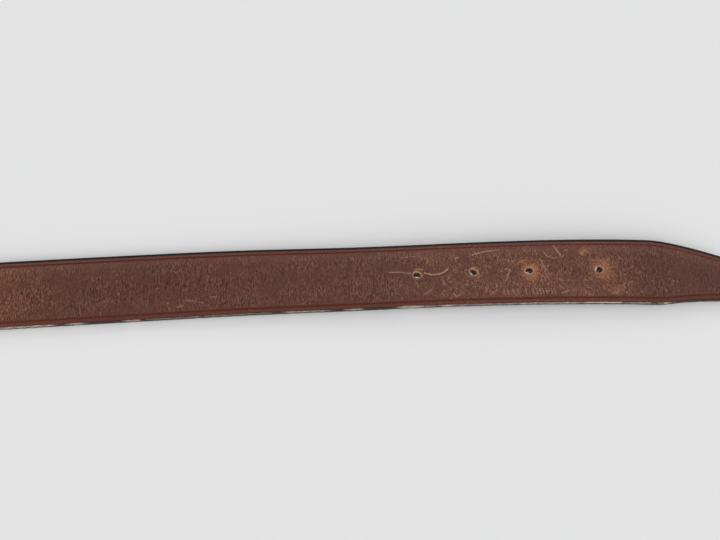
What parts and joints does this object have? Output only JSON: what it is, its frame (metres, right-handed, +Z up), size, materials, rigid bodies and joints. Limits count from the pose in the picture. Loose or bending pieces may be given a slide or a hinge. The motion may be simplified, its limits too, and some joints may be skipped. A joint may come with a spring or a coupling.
{
  "type": "reversible leather belt",
  "caption": "Long flat strap of two stitched leathers, brown over black, with punched holes, a rounded pointed tip and a plain clamp buckle, lying face up.",
  "frame": {"origin": "middle of the belt's own box, on the surface that it lies on", "axes": "+X along the strap from the buckle towards the tip, +Y across the strap to the far edge, +Z up out of the brown face"},
  "size_m": [1.035, 0.0432, 0.0062],
  "materials": {
    "brown_leather": "worn brown pull-up leather, low sheen, fine cross grain, tan rub marks round the holes",
    "black_leather": "black smooth-grain leather, soft sheen",
    "brushed_metal": "brushed along the strap, satin",
    "stitch_thread": "dark red waxed thread",
    "edge_coat": "black edge paint, worn to pale fibre along the near edge"
  },
  "bodies": {
    "root": {"face_leather": "brown_leather", "reverse_leather": "black_leather", "buckle": "brushed_metal"}
  },
  "joints": []
}
